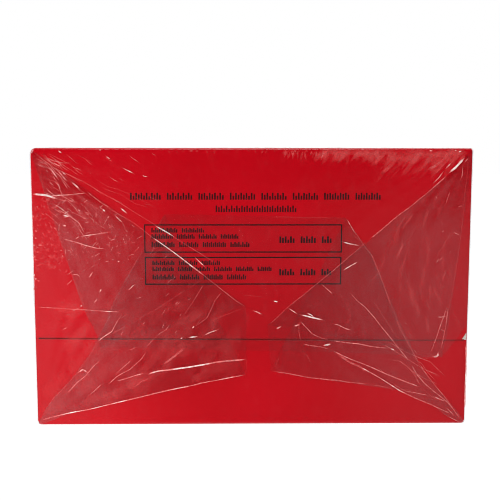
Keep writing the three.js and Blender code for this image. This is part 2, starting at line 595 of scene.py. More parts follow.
def sleeve_section():
    """Points and outward ways round the sleeve, from the lap's lower edge up the left side."""
    lap_low = LAP_LOW_UP_MM - MIDDLE_UP
    points, outward = [], []
    at = np.array((-HALF_WIDE, lap_low))
    for (to_x, to_up), begin in (((-1, 1), 180), ((1, 1), 90), ((1, -1), 0), ((-1, -1), -90)):
        radius = FILM_ROUND[to_x, to_up]
        centre = np.array((to_x * (HALF_WIDE - radius), to_up * (HALF_HIGH - radius)))
        angles = np.radians(np.linspace(begin, begin - 90, CORNER_STEPS + 1))
        ways = np.column_stack([np.cos(angles), np.sin(angles)])
        turn = centre + radius * ways
        steps = max(1, round(np.hypot(*(turn[0] - at)) / SLEEVE_STEP_MM))
        points += [at + (turn[0] - at) * step / steps for step in range(steps)]
        outward += [ways[0]] * steps
        points += list(turn[:-1])
        outward += list(ways[:-1])
        at = turn[-1]
    end = np.array((-HALF_WIDE, lap_low + LAP_MM))
    steps = round(np.hypot(*(end - at)) / SLEEVE_STEP_MM)
    points += [at + (end - at) * step / steps for step in range(steps + 1)]
    outward += [np.array((-1.0, 0.0))] * (steps + 1)
    return np.array(points), np.array(outward)


def sleeve_lift(round_way, along):
    """How far the sleeve stands off the board: slack that fades at its ends, and none underneath."""
    upward = np.interp(round_way, section_gone, section_out[:, 1])
    lift = np.maximum(sleeve_waves(round_way, along) + SLEEVE_SLACK_MM, 0)
    lift *= np.clip((SLEEVE_END - np.abs(along)) / SLEEVE_FADE_MM, 0, 1)
    lift *= np.where(upward > FACING_UP, np.clip((SLEEVE_END + along) / TOP_FADE_MM, 0, 1), 1)
    lift *= upward > FACING_DOWN
    return lift + LAP_LIFT_MM * (round_way > section_gone[-1] - LAP_MM)


def on_sleeve(spots, heights):
    """Points at a distance round the sleeve and a place along it, raised by a height, in mm."""
    round_way, along = spots.T
    at, out = (
        np.column_stack([np.interp(round_way, section_gone, values[:, axis]) for axis in (0, 1)])
        for values in (section, section_out)
    )
    ring = at + out * (sleeve_lift(round_way, along) + heights)[:, None]
    return np.column_stack([ring[:, 0], along, ring[:, 1] + MIDDLE_UP])


film_finish, film_inner = clear_film(), film_inside()
sleeve_waves = ripples(seed=3, count=12, shortest=14, longest=60, steepness=0.0016)
section, section_out = sleeve_section()
section_gone = np.concatenate([[0], np.cumsum(np.hypot(*np.diff(section, axis=0).T))])
sleeve_rows = np.linspace(-SLEEVE_END, SLEEVE_END, round(2 * SLEEVE_END / SLEEVE_STEP_MM))
sleeve, spot, along = grid_of("film_sleeve", np.arange(len(section)), sleeve_rows)
set_points(sleeve, on_sleeve(np.column_stack([section_gone[spot], along]), 0) * MM)
finish_film(sleeve)
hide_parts("film_wrap")

# Film folds over the ends
# At each end the film is folded like an envelope: a tuck from the top, a tuck from below, a
# doubled ear at each corner, and last the two side flaps. Heat seals hold the layers flat.

# Each corner: its two sides, the angles of its crease and its ear in degrees, and how far the tuck
# and the side flap reach over the end in mm
CORNERS = {
    "top_left": (-1, 1, 36.6, 36.3, 66.0, 70.5),
    "top_right": (1, 1, 41.0, 42.6, 69.2, 67.4),
    "lower_left": (-1, -1, 13.7, 44.8, 71.4, 70.5),
    "lower_right": (1, -1, 15.7, 43.5, 70.2, 66.3),
}
EAR_FOOT_UP_MM = -11.5
LAYER_MM = {"tuck_top": 0.08, "tuck_low": 0.17, "ear": 0.26, "flap": 0.35}
FLAP_BOW_MM = 0.2
SHEET_STEP_MM, LIP_STEP_MM, MERGE_MM = 0.8, 0.2, 0.001

# The film's slack, which fades at the pack's edges and fans out from its corners in ripples
SLACK_MM, EDGE_FADE_MM = 0.08, 7
SLACK_SHARE = {"tuck_top": 0.15, "tuck_low": 0.2, "ear": 0.6, "flap": 1}
FAN_HEIGHT_MM = {"top_left": 0.02, "top_right": 0.03, "lower_left": 0.02, "lower_right": 0.03}
FAN_REACH_MM, FAN_RIPPLES = 26, 38
FAN_SWAY, FAN_SWAYS, FAN_SEED = 2, 5, 100


def fold_of(to_x, to_up, crease, ear, tuck, side):
    """A corner's own point, the side flap's free end on its crease, and the tuck's free tip."""
    corner = np.array((to_x * HALF_WIDE, to_up * HALF_HIGH))
    inward = -np.array((to_x, to_up))
    knee = corner + inward * (side, side * math.tan(math.radians(crease)))
    tip = corner + inward * (tuck / math.tan(math.radians(crease + ear)), tuck)
    return corner, knee, tip


folds = {name: fold_of(*sizes) for name, sizes in CORNERS.items()}
EAR_FOOT = np.array((HALF_WIDE, EAR_FOOT_UP_MM))
(TL, KNEE_TL, TIP_TL), (TR, KNEE_TR, TIP_TR) = folds["top_left"], folds["top_right"]
(BL, KNEE_BL, TIP_BL), (BR, KNEE_BR, TIP_BR) = folds["lower_left"], folds["lower_right"]
SHEETS = {
    "tuck_top": ("tuck_top", [TL, TIP_TL, TIP_TR, TR]),
    "tuck_low": ("tuck_low", [BL, BR, TIP_BR, TIP_BL]),
    "ear_top_left": ("ear", [TL, TIP_TL, KNEE_TL]),
    "ear_top_right": ("ear", [TR, KNEE_TR, TIP_TR, EAR_FOOT]),
    "ear_low_left": ("ear", [BL, KNEE_BL, TIP_BL]),
    "ear_low_right": ("ear", [BR, TIP_BR, KNEE_BR]),
    "flap_left": ("flap", [TL, BL, KNEE_BL, KNEE_TL]),
    "flap_right": ("flap", [TR, KNEE_TR, KNEE_BR, BR]),
}

# Some folds aren't straight: how far each swings into its ear, at shares of its length
BOW_REACH_MM, BOW_FADE_MM = 5.5, 3
BOWS = [
    (BL, KNEE_BL, TIP_BL, ((0.1, 1.4), (0.5, 0.9), (0.95, 0.7))),
    (BL, TIP_BL, KNEE_BL, ((0.13, 0), (0.25, 2.0), (0.37, 2.65), (0.48, 2.2), (0.6, 0.4), (0.7, 0))),
    (BR, KNEE_BR, TIP_BR, ((0.18, 3.2), (0.37, 5.1), (0.62, 3.0), (0.81, 1.0))),
    (BR, TIP_BR, KNEE_BR, ((0.15, 1.8), (0.3, 3.2), (0.48, 2.1), (0.65, 0.45), (0.82, -1.4))),
    (TR, KNEE_TR, TIP_TR, ((0.12, 1.2), (0.35, 0.9), (0.6, 0.4))),
]


def stations(half):
    """Grid lines from side to side, closer together where the film turns over an edge."""
    turn = half - LIP_MM
    inner = np.linspace(-turn, turn, round(2 * turn / SHEET_STEP_MM))
    outer = np.linspace(turn, half, round(LIP_MM / LIP_STEP_MM) + 1)[1:]
    return np.concatenate([-outer[::-1], inner, outer])


def over_corner(across, up, to_x, to_up):
    """How far points are past the middle of a rounded corner, and which are in its quarter."""
    radius = FILM_ROUND[to_x, to_up]
    over = np.stack([to_x * across - HALF_WIDE + radius, to_up * up - HALF_HIGH + radius])
    return over, (over > 0).all(axis=0), radius


def room_at(across, up):
    """How far inside the pack's rounded outline a point of its end is."""
    room = np.minimum(HALF_WIDE - np.abs(across), HALF_HIGH - np.abs(up))
    for corner in FILM_ROUND:
        over, inside, radius = over_corner(across, up, *corner)
        room = np.where(inside, radius - np.hypot(*over), room)
    return np.maximum(room, 0)


def drawn_in(across, up):
    """Points of the end, those past a rounded corner drawn in to it."""
    for to_x, to_up in FILM_ROUND:
        over, inside, radius = over_corner(across, up, to_x, to_up)
        excess = np.where(inside, np.maximum(np.hypot(*over) / radius, 1), 1)
        across = np.where(inside, to_x * (HALF_WIDE - radius + over[0] / excess), across)
        up = np.where(inside, to_up * (HALF_HIGH - radius + over[1] / excess), up)
    return across, up


def bowed(across, up):
    """Points of the end, moved along with the folds that aren't straight."""
    moved = np.stack([across, up])
    fade = np.clip(room_at(across, up) / BOW_FADE_MM, 0, 1)
    for begin, end, inner, bow in BOWS:
        run = end - begin
        length = np.hypot(*run)
        run /= length
        way = np.array((-run[1], run[0]))
        way *= np.sign((inner - begin) @ way)
        share = ((across - begin[0]) * run[0] + (up - begin[1]) * run[1]) / length
        off = (across - begin[0]) * way[0] + (up - begin[1]) * way[1]
        shares, amounts = zip((0, 0), *bow, (1, 0))
        swing = np.interp(share, shares, amounts) * np.exp(-((off / BOW_REACH_MM) ** 2)) * fade
        moved += way[:, None] * swing
    return moved


def unbowed(across, up):
    """Where points of the end were before the folds were bowed."""
    moved = bowed(across, up)
    return 2 * across - moved[0], 2 * up - moved[1]


def lip_at(across, up):
    """How far back the film curls at a point, to meet the sleeve."""
    short = np.clip(LIP_MM - room_at(across, up), 0, LIP_MM)
    return LIP_MM - np.sqrt(LIP_MM**2 - short**2)


def end_waves(seed):
    """Slack of the folded film over an end, fanning out from its corners."""
    broad = ripples(seed, count=10, shortest=10, longest=40, steepness=0.0009)
    draw = np.random.default_rng(FAN_SEED + seed)
    starts = draw.uniform(0, 2 * math.pi, (len(folds), 2))

    def height(across, up):
        total = broad(across, up)
        for (name, (corner, _, _)), (start, turn) in zip(folds.items(), starts):
            away = np.hypot(across - corner[0], up - corner[1])
            angle = np.arctan2(np.abs(up - corner[1]), np.abs(across - corner[0]))
            swell = FAN_HEIGHT_MM[name] * away / FAN_REACH_MM * np.exp(1 - away / FAN_REACH_MM)
            sway = FAN_SWAY * np.sin(FAN_SWAYS * angle + turn)
            total += swell * np.sin(FAN_RIPPLES * angle + start + sway)
        fade = np.clip(room_at(across, up) / EDGE_FADE_MM, 0, 1)
        return np.maximum(total + SLACK_MM, 0) * fade

    return height


def inside_outline(across, up, outline):
    """Which points lie inside an outline that runs anticlockwise and turns only one way."""
    inside = np.ones(np.shape(across), bool)
    for begin, end in zip(outline, outline[1:] + outline[:1]):
        way = end - begin
        inside &= way[0] * (up - begin[1]) - way[1] * (across - begin[0]) >= 0
    return inside


def stand_off(name, across, up, way):
    """How far a sheet stands off the board: its layer, its slack and, on a flap, its bow."""
    layer, outline = SHEETS[name]
    out = LAYER_MM[layer] + SLACK_SHARE[layer] * end_slack[way](across, up)
    if layer == "flap":
        out += FLAP_BOW_MM * np.clip(np.abs(across - outline[0][0]) / HALF_WIDE, 0, 1) ** 2
    return out


def end_sheet(name, way, side):
    """One sheet of an end: a grid cut to its outline, bowed, raised and curled back at the edges."""
    outline = SHEETS[name][1]
    sheet, across, up = grid_of(f"film_{name}_{side}", stations(HALF_WIDE), stations(HALF_HIGH))
    set_points(sheet, np.column_stack([across, np.zeros_like(across), up]) * MM)
    bpy.ops.object.mode_set(mode="EDIT")
    for begin, end in zip(outline, outline[1:] + outline[:1]):
        along = (end - begin) / np.hypot(*(end - begin))
        bpy.ops.mesh.select_all(action="SELECT")
        bpy.ops.mesh.bisect(
            plane_co=(begin[0] * MM, 0, begin[1] * MM),
            plane_no=(along[1], 0, -along[0]),
            clear_outer=True,
            threshold=MERGE_MM * MM,
        )
    if way > 0:
        bpy.ops.mesh.select_all(action="SELECT")
        bpy.ops.mesh.flip_normals()
    bpy.ops.object.mode_set(mode="OBJECT")
    across, _, up = points_of(sheet).T / MM
    across, up = drawn_in(*bowed(across, up))
    depth = way * (END_MM + stand_off(name, across, up, way) - lip_at(across, up))
    set_points(sheet, np.column_stack([across, depth, up + MIDDLE_UP]) * MM)
    finish_film(sheet)


end_slack = {-1: end_waves(11), 1: end_waves(12)}
for way, side in ((-1, "front"), (1, "back")):
    for name in SHEETS:
        end_sheet(name, way, side)

# Creases in the film, whitened and with painted glints
# Where the film is pinched, folded over or rubbed it turns white: sharp pleats along the folds,
# loose ones across the flaps, and many short scratches. Each is a low ridge of the film itself,
# and its whiteness is partly that stress whitening and partly painted highlight and reflection.
# The ridges' tints, from faint to white: rose and pink for rubbed film and for painted glints that
# pick up the red board, white for the whitest film and the brightest painted highlights.
WHITE_FILM, PINK_FILM, ROSE_FILM = (1, 0.90, 0.86, 1), (1, 0.27, 0.26, 1), (1, 0.15, 0.15, 1)
MOST_HIDDEN, LEAST_BROKEN = 0.97, 0.55
CREASE_SMOOTH_DEG = 50
PAST_RIGHT_MM = 0.35

# A ridge's section from side to side: places as shares of its width, heights and whiteness
RIDGE_ACROSS = (-0.5, -0.35, 0, 0.35, 0.5)
RIDGE_UP = (0, 0.75, 1, 0.75, 0)
RIDGE_WHITE = (0, 0.9, 1, 0.9, 0)
RIDGE_STEP_MM, RIDGE_LEAST_STEPS = 0.6, 4
RIDGE_HIGH_SHARE, RIDGE_HIGH_MM = 0.45, 0.12

# How a ridge thins out at its tips, and varies in place, width and whiteness from knot to knot
TIP_MM, TIP_SHARE, TIP_WIDTH = 2, 1 / 3, 0.15
KNOT_MM, KNOT_ASIDE_MM, KNOT_SPREAD = 4, 0.06, 0.28
UNEVEN = (0.85, 1.15)
WHITEST = 1.4

# Each kind: how white it is, how wide in mm, and its paths in pixels of the photograph
# The brighter kinds are painted light: edge, sharp, bright, flash and loose are painted highlights
# along folds and edges, and glare is a painted reflection along the top edge. The fainter kinds are
# partly whitening and partly painted glint.
CREASES = {
    "hair": (0.14, 0.28, [
        [(165, 214), (143, 250), (130, 272), (114, 302), (108, 321), (104, 329)],
        [(97, 343), (89, 357), (76, 374), (64, 388), (54, 398), (41, 415)],
        [(38, 157), (44, 192), (54, 223), (66, 259), (84, 305), (97, 347)],
        [(468, 160), (462, 226), (454, 282), (447, 317), (440, 355)],
        [(246.5, 358.5), (246, 374.5)],
        [(270, 217), (345, 218)],
        [(208, 321.6), (246, 307)],
        [(104, 348.7), (130, 350)],
        [(206, 277), (155, 309.7), (132, 322), (110.7, 335)],
        [(280, 355), (274, 369)],
        [(95, 179), (108, 186.5), (130, 194), (150, 204), (157, 209)],
        [(100, 187), (120, 194), (135, 204), (152, 209)],
        [(77, 155), (95, 164)],
        [(80, 212), (96, 229.5)],
        [(241.7, 295.7), (249.7, 295.7), (267.5, 298)],
        [(118.8, 352), (108, 361.3)],
        [(106, 392), (101, 397.3)],
        [(98, 349), (95, 358.3), (93, 365)],
        [(303.8, 352), (307, 354), (310.8, 364)],
        [(419.4, 359.7), (429.7, 356.7)],
        [(440.6, 356), (444.8, 356.4)],
        [(415, 354), (427.3, 354.5)],
    ]),
    "fold": (0.30, 0.32, [
        [(31, 150), (54, 167.6), (70.5, 175.6), (89, 185), (119, 202.6), (155, 225), (218, 264.5)],
        [(88, 193), (107, 206.6), (135, 224), (151, 236.4), (205, 276), (223, 290.7), (246, 307)],
        [(369, 240), (320, 281), (288, 307), (269, 324.5)],
        [(346, 218), (364, 245.5), (372, 255.7), (379, 273), (385, 289.5), (392, 308.5)],
        [(205, 282), (193.5, 301), (181, 318.7)],
        [(223, 290), (215, 300), (207, 317.6), (192, 329)],
        [(171.5, 322), (166, 330), (159.4, 333.8), (153, 340), (145.6, 348.3)],
        [(373, 300), (392, 330), (402, 344)],
        [(132, 389), (141.8, 381), (153, 377.4)],
        [(299, 319), (299, 332), (301.3, 343.7)],
        [(392, 308.5), (401, 331), (412.7, 352.4), (418.8, 362.7)],
        [(370, 384), (392, 388.5)],
        [(388, 359), (401, 361), (407.3, 366.4), (414, 373.6), (418, 382), (421.8, 387.6)],
        [(469, 157), (464, 163)],
        [(289, 315.6), (282.5, 322)],
        [(126.5, 326), (116.5, 330.7), (109.6, 335.3)],
    ]),
    "line": (0.50, 0.36, [
        [(448, 175), (436.7, 184.7), (425.7, 194), (412.8, 204.4), (400, 214.5), (369, 240)],
        [(319, 282), (335, 296)],
        [(36, 307), (82, 309.7), (124, 312)],
        [(349, 291.4), (357.4, 301), (364.4, 306.7), (374, 317), (398, 347.6), (410, 362)],
        [(271.3, 371), (289, 373.6), (309.5, 377.5), (336, 380), (346.5, 382), (370, 384)],
        [(299.3, 319.4), (304.4, 325.8), (312, 333.5), (321, 337.6), (331, 340.2)],
        [(301.3, 343.7), (309.5, 345.3), (321, 346.5), (331, 349.4)],
        [(418.8, 362.7), (424, 371), (443.6, 395.5), (461, 420)],
        [(410, 362), (416.4, 374), (423.6, 382.7), (434.5, 391.8), (448.5, 402.7), (461, 419)],
        [(400.6, 390), (414, 392.4), (431.5, 395.5)],
        [(444, 405), (455, 417.3)],
        [(448, 304), (443, 318), (438, 332), (430.3, 353)],
        [(448, 304), (446, 325), (443, 340.3), (440.6, 350)],
        [(87.4, 396.5), (95, 390.4), (103.5, 382)],
        [(102, 358.3), (93.6, 366), (86, 375), (76.7, 382.7), (66, 395)],
        [(147, 350.6), (141.8, 358.3), (130.3, 369), (116.5, 376.6), (107, 385)],
        [(133, 358.3), (124, 366), (113.5, 376.6)],
        [(439, 328), (446, 332)],
        [(137, 346), (132.6, 349), (128.8, 350)],
        [(463, 163), (462, 175.5), (459.6, 181.5)],
        [(450.9, 188.5), (444.5, 207.6)],
        [(457, 207.6), (461, 205.8), (463.8, 206.7)],
        [(452, 231.8), (460.5, 235.7)],
        [(351.4, 234.4), (362.9, 242)],
        [(178, 301), (175, 305)],
    ]),
    "band": (0.40, 0.75, [
        [(186.6, 347.4), (179.7, 352), (169.4, 360), (162.5, 364.6)],
        [(336, 353), (349, 362), (359, 366), (370, 373.6)],
    ]),
    "loose": (0.72, 0.8, [
        [(466.6, 341), (466.2, 358), (465.8, 375), (465.4, 390), (464.9, 409)],
    ]),
    "pleat": (0.76, 0.38, [
        [(47, 196), (66, 195), (88, 192.8)],
        [(96.6, 343), (100.4, 339), (106.6, 334.5), (112, 331.5), (118, 320), (124, 312)],
        [(341, 271), (360, 260)],
        [(434, 317), (442, 317), (449, 315)],
        [(445, 169.6), (439, 177.4), (432, 184.7)],
        [(287, 307.3), (298, 314.3)],
        [(331, 323.3), (337.6, 324.5), (346, 328.7), (353.5, 330.6)],
        [(331, 349.4), (341.4, 354.5), (351, 359), (370, 366.6), (396.4, 378), (420, 387)],
        [(331, 340.2), (345, 342.4), (359, 343.7), (370, 346), (390, 348.2)],
        [(359, 366), (380, 378), (400.6, 390.6), (416.4, 398.5), (432, 405), (451.5, 414)],
        [(446.7, 415.5), (460.6, 422.5)],
        [(114, 381.2), (145.6, 372.8)],
        [(48.7, 166.4), (60, 181)],
        [(55.6, 167.6), (68, 182.5)],
        [(36, 160.7), (50, 165.3)],
        [(193.5, 256), (207, 269)],
        [(78.5, 236.4), (93.5, 234.7), (112.4, 231.3)],
        [(60, 237.6), (75, 241.6), (84, 245), (99, 248.5), (107, 248.5)],
        [(70.5, 274), (77.4, 274.7), (81.4, 277.6)],
        [(93.5, 270.7), (89, 278)],
        [(101.5, 288), (99, 293.6)],
        [(105, 156), (110.7, 159.5)],
        [(346, 218), (356.5, 235.7)],
        [(57.9, 199), (70.5, 201.4)],
    ]),
    "edge": (0.92, 0.42, [
        [(41, 420), (68, 413.3), (101, 406.5), (122.6, 401), (160, 392), (201.5, 383), (246, 374.4)],
    ]),
    "sharp": (1.06, 0.56, [
        [(145.6, 372.8), (148, 374.3), (151, 372.8), (160, 370.5), (188, 367), (223, 361.2),
         (247, 359)],
        [(298, 314.3), (304.4, 315.3), (314, 317.8), (325.5, 320.7)],
        [(76, 373.6), (83, 369), (87.4, 372), (90.5, 373.6)],
        [(281.5, 325.8), (275.7, 329)],
        [(293.6, 325.8), (297.4, 325.2), (300, 324)],
    ]),
    "glare": (0.16, 1.9, [
        [(318, 151.5), (350, 152), (400, 152.5), (440, 152.7), (468, 152.5)],
        [(352, 154.5), (368, 155)],
        [(430, 154.3), (448, 154.6), (467, 154.2)],
        [(442, 152), (456, 152.4), (468, 152.2)],
    ]),
    "bright": (1.10, 0.46, [
        [(154, 225), (176, 238)],
        [(151, 236.4), (175, 253.4), (205, 276)],
        [(340, 240.8), (349, 243.3), (361.6, 246)],
        [(252, 310.7), (256.6, 311.8), (263.5, 315.3)],
        [(273.3, 301), (278.4, 302)],
        [(219.9, 329), (209.5, 332.5), (202.7, 336)],
        [(198.6, 336.5), (187.7, 337.3)],
        [(183, 337.6), (180.3, 338.8)],
        [(120, 207.7), (127.3, 214)],
        [(58, 150.3), (62, 153.2)],
        [(70.5, 181.3), (81, 190.5)],
        [(77.4, 209), (81, 211.7)],
        [(62.5, 215), (70.5, 217)],
        [(62.5, 225), (67, 226)],
        [(102.7, 209), (105.5, 211.7)],
        [(99, 149.5), (101, 150.5)],
        [(452, 161.7), (445, 169.6)],
        [(119.9, 261), (117.6, 262)],
        [(82.6, 305), (80.3, 306.5)],
        [(194.6, 325.6), (192.3, 328.5)],
        [(306.4, 313), (310.8, 314.7), (314.5, 317.6)],
        [(431.5, 395.5), (436, 397.3), (446.7, 401.5)],
        [(390, 348), (394.5, 349.7)],
        [(429, 150.6), (433, 150.5)],
        [(454.5, 150.8), (457, 150.6)],
        [(458.3, 152), (462, 150.7)],
    ]),
    "flash": (1.45, 0.75, [
        [(31, 194), (47.5, 195.7), (60, 199.4)],
        [(322.9, 345.6), (331.5, 343.8)],
        [(430.5, 355.6), (435.8, 357), (438, 355.5), (438.8, 350.5)],
        [(465.6, 156.3), (459.6, 162.7), (455, 167.7), (451.8, 170.5), (447.7, 174.6)],
    ]),
}

# Small marks strewn over a sheet: how many, on which sheet, between which two corners in pixels,
# which way they lean in degrees, and how long in mm, how wide in mm and how white, from and to
# Many of these are painted light: the wide faint marks along the top edge and over the right flap
# are painted reflections in the film's ripples, and those along the left edge and on the top edge
# are painted glints. The thin ones over the flaps are rubbed film with painted glints.
STROKES = [
    (60, "tuck_top", (318, 150), (396, 151.5), (218, 258), (2, 5.5), (0.9, 2.4), (0.08, 0.18)),
    (60, "tuck_top", (380, 150), (468, 153), (216, 236), (3, 11), (0.7, 2.2), (0.06, 0.16)),
    (45, "tuck_top", (392, 153), (460, 166), (216, 230), (3, 9), (0.4, 1.1), (0.05, 0.12)),
    (26, "tuck_top", (285, 149.5), (335, 150.5), (232, 262), (1.5, 4), (0.3, 0.8), (0.1, 0.36)),
    (30, "tuck_top", (150, 149.5), (310, 150), (230, 300), (0.6, 1.6), (0.3, 0.6), (0.08, 0.3)),
    (20, "tuck_top", (50, 150), (160, 205), (320, 338), (1.5, 6), (0.16, 0.26), (0.25, 1)),
    (200, "flap_left", (34, 198), (62, 268), (0, 360), (0.6, 2.2), (0.3, 0.8), (0.07, 0.3)),
    (150, "flap_left", (60, 190), (215, 335), (200, 250), (1.2, 5), (0.16, 0.28), (0.12, 0.8)),
    (240, "flap_left", (62, 196), (132, 262), (0, 360), (0.8, 3), (0.16, 0.3), (0.15, 0.8)),
    (60, "flap_left", (40, 160), (120, 215), (308, 334), (3, 14), (0.16, 0.28), (0.15, 1)),
    (170, "flap_left", (60, 285), (245, 412), (200, 246), (5, 14), (2.5, 5.5), (0.03, 0.06)),
    (40, "flap_right", (385, 180), (452, 236), (232, 256), (5, 14), (0.6, 1.5), (0.02, 0.16)),
    (30, "flap_right", (385, 225), (452, 285), (258, 280), (5, 14), (0.6, 1.5), (0.02, 0.16)),
    (26, "flap_right", (392, 275), (450, 325), (276, 300), (5, 14), (0.6, 1.5), (0.02, 0.16)),
    (40, "flap_right", (300, 290), (400, 350), (180, 360), (2, 6), (0.4, 1.2), (0.03, 0.1)),
    (50, "flap_right", (370, 180), (462, 350), (200, 320), (0.8, 3), (0.16, 0.26), (0.1, 0.7)),
    (16, "flap_right", (400, 375), (456, 416), (130, 162), (8, 25), (0.16, 0.26), (0.15, 0.6)),
    (25, "", (31, 200), (37, 330), (0, 360), (0.6, 1.6), (0.3, 0.7), (0.3, 1)),
    (26, "", (34, 152), (50, 163), (316, 334), (3, 12), (0.16, 0.26), (0.2, 0.8)),
    (30, "flap_left", (44, 162), (66, 184), (300, 330), (1.5, 7), (0.16, 0.26), (0.2, 0.9)),
]

# The same for the sleeve's left side, top and right side: how many, how far in from its ends in mm,
# how far they lean in radians, and how long, how wide and how white
SLEEVE_SHOWN_MM = (1, 282)
SLEEVE_STROKES = [
    (150, (0.2, 1.5), 0.45, (2, 16), (0.2, 0.45), (0.08, 0.7)),
    (110, (2, 120), 1.57, (0.8, 5), (0.16, 0.3), (0.06, 0.5)),
    (40, (5, 60), 0.25, (12, 50), (0.2, 0.4), (0.04, 0.16)),
]
STROKE_LEGS = 3
END_TURN, SLEEVE_TURN = 0.2, 0.12


def creased_film_painted_glint():
    finish, bench = new_finish("creased_film_painted_glint")
    # Each ridge's stored whiteness sets how far its matt tint covers the film: stress whitening and
    # painted highlight in one.
    white = bench.add("ShaderNodeAttribute", {"attribute_name": "whitening_and_glint"}, {}, "Fac")
    broken = bench.place().noise(scale=700, detail=2, roughness=0.6).between(0.3, 0.6)
    through = bench.add("ShaderNodeBsdfTransparent", {}, {"Color": UNTINTED})
    rubbed = white.between(0.1, 0.6).blend(ROSE_FILM, PINK_FILM)
    tint = white.between(0.7, 1.4).blend(rubbed, WHITE_FILM)
    matt = bench.add("ShaderNodeBsdfPrincipled", {}, {"Base Color": tint, "Roughness": 0.3})
    broken = LEAST_BROKEN + (1 - LEAST_BROKEN) * broken
    hidden = bench.maths("MINIMUM", white, MOST_HIDDEN) * broken
    close_finish(bench, bench.add("ShaderNodeMixShader", {}, {0: hidden, 1: through, 2: matt}))
    return finish


def level_at(across, up, way):
    """How far the outermost film layer stands off the board at a point."""
    unmoved = unbowed(across, up)
    level = stand_off("tuck_top", across, up, way)
    for name in ("tuck_low", "flap_left", "flap_right"):
        inside = inside_outline(*unmoved, SHEETS[name][1])
        level = np.where(inside, stand_off(name, across, up, way), level)
    return level


def ridge(path, width, white, draw):
    """A tapering ridge along a path: where its vertices lie, how high, its faces and whiteness."""
    path = np.array(path)
    gone = np.concatenate([[0], np.cumsum(np.hypot(*np.diff(path, axis=0).T))])
    count = max(RIDGE_LEAST_STEPS, round(gone[-1] / RIDGE_STEP_MM))
    stops = np.linspace(0, gone[-1], count)
    middle = np.column_stack([np.interp(stops, gone, path[:, axis]) for axis in (0, 1)])
    run = np.gradient(middle, axis=0)
    aside = np.column_stack([-run[:, 1], run[:, 0]]) / np.hypot(*run.T)[:, None]
    knots = np.arange(0, gone[-1] + KNOT_MM, KNOT_MM)
    middle += aside * np.interp(stops, knots, draw.normal(0, KNOT_ASIDE_MM, len(knots)))[:, None]
    tip = min(TIP_MM, gone[-1] * TIP_SHARE)
    taper = np.clip(np.minimum(stops, stops[::-1]) / tip, TIP_WIDTH, 1)
    wide = width * taper * draw.uniform(*UNEVEN, count)
    uneven = np.exp(np.interp(stops, knots, draw.normal(0, KNOT_SPREAD, len(knots))))
    strength = np.clip(white * taper * uneven * draw.uniform(*UNEVEN, count), 0, WHITEST)
    spots = middle[:, None] + aside[:, None] * np.outer(wide, RIDGE_ACROSS)[:, :, None]
    heights = np.outer(np.minimum(wide * RIDGE_HIGH_SHARE, RIDGE_HIGH_MM), RIDGE_UP)
    sides = len(RIDGE_ACROSS)
    faces = []
    for first in range(0, (count - 1) * sides, sides):
        for side in range(sides):
            after = (side + 1) % sides
            faces.append((first + side, first + after, first + sides + after, first + sides + side))
    faces.append(tuple(range(sides)))
    faces.append(tuple(range((count - 1) * sides, count * sides)))
    return spots.reshape(-1, 2), heights.ravel(), faces, np.outer(strength, RIDGE_WHITE).ravel()


def on_end(pixel):
    """The point of the front end under a pixel, measured from its middle."""
    across, up = under_pixel(pixel, -END_MM - LAYER_MM["ear"])
    return np.array((across, up - MIDDLE_UP))


def wandering(draw, start, lean, length, turn, way_at):
    """A path of a few legs, each turned a little from the one before it."""
    path = [start]
    for _ in range(STROKE_LEGS):
        path.append(path[-1] + length / STROKE_LEGS * np.array(way_at(lean)))
        lean += draw.normal(0, turn)
    return np.array(path)


def whiteness(draw, whites):
    """A whiteness between two, more often near the first."""
    return whites[0] + (whites[1] - whites[0]) * draw.uniform() ** 2


def strewn(draw, count, sheet, begin, end, leans, lengths, widths, whites):
    """The marks of one row of STROKES that keep to their sheet."""
    for _ in range(count):
        start = on_end(draw.uniform(begin, end))
        lean = math.radians(draw.uniform(*leans))
        length = draw.uniform(*lengths)
        path = wandering(draw, start, lean, length, END_TURN, lambda a: (math.cos(a), math.sin(a)))
        white = whiteness(draw, whites)
        width = draw.uniform(*widths)
        if not sheet or inside_outline(*unbowed(*path.T), SHEETS[sheet][1]).all():
            yield white, width, path


def end_lines(draw, share):
    """A share of the creases, and the strewn marks: how white, how wide and along which path."""
    lines = []
    for white, width, paths in CREASES.values():
        kept = [path for path in paths if draw.uniform() < share]
        lines += [(white, width, [on_end(pixel) for pixel in path]) for path in kept]
    for area in STROKES:
        lines += strewn(draw, *area)
    return lines


def on_end_film(way):
    """A function that lays points, raised by a height, on the outermost film over an end."""

    def place(spots, heights):
        across, up = drawn_in(*spots.T)
        across = np.clip(across, -HALF_WIDE, HALF_WIDE + PAST_RIGHT_MM)
        up = np.clip(up, -HALF_HIGH, HALF_HIGH)
        out = level_at(across, up, way) - lip_at(across, up) + heights
        return np.column_stack([across, way * (END_MM + out), up + MIDDLE_UP])

    return place


def sleeve_lines(draw):
    """Creases drawn in from the sleeve's two ends, and short rubbed marks all over it."""
    lines = []
    for count, inset, leans, lengths, widths, whites in SLEEVE_STROKES:
        for _ in range(count):
            round_way = draw.uniform(*SLEEVE_SHOWN_MM)
            way = draw.choice((-1, 1))
            start = np.array((round_way, way * (SLEEVE_END - draw.uniform(*inset))))
            lean = draw.uniform(-leans, leans)
            length = draw.uniform(*lengths)
            path = wandering(
                draw, start, lean, length, SLEEVE_TURN, lambda a: (math.sin(a), -way * math.cos(a))
            )
            white = whiteness(draw, whites)
            lines.append((white, draw.uniform(*widths), path))
    return lines


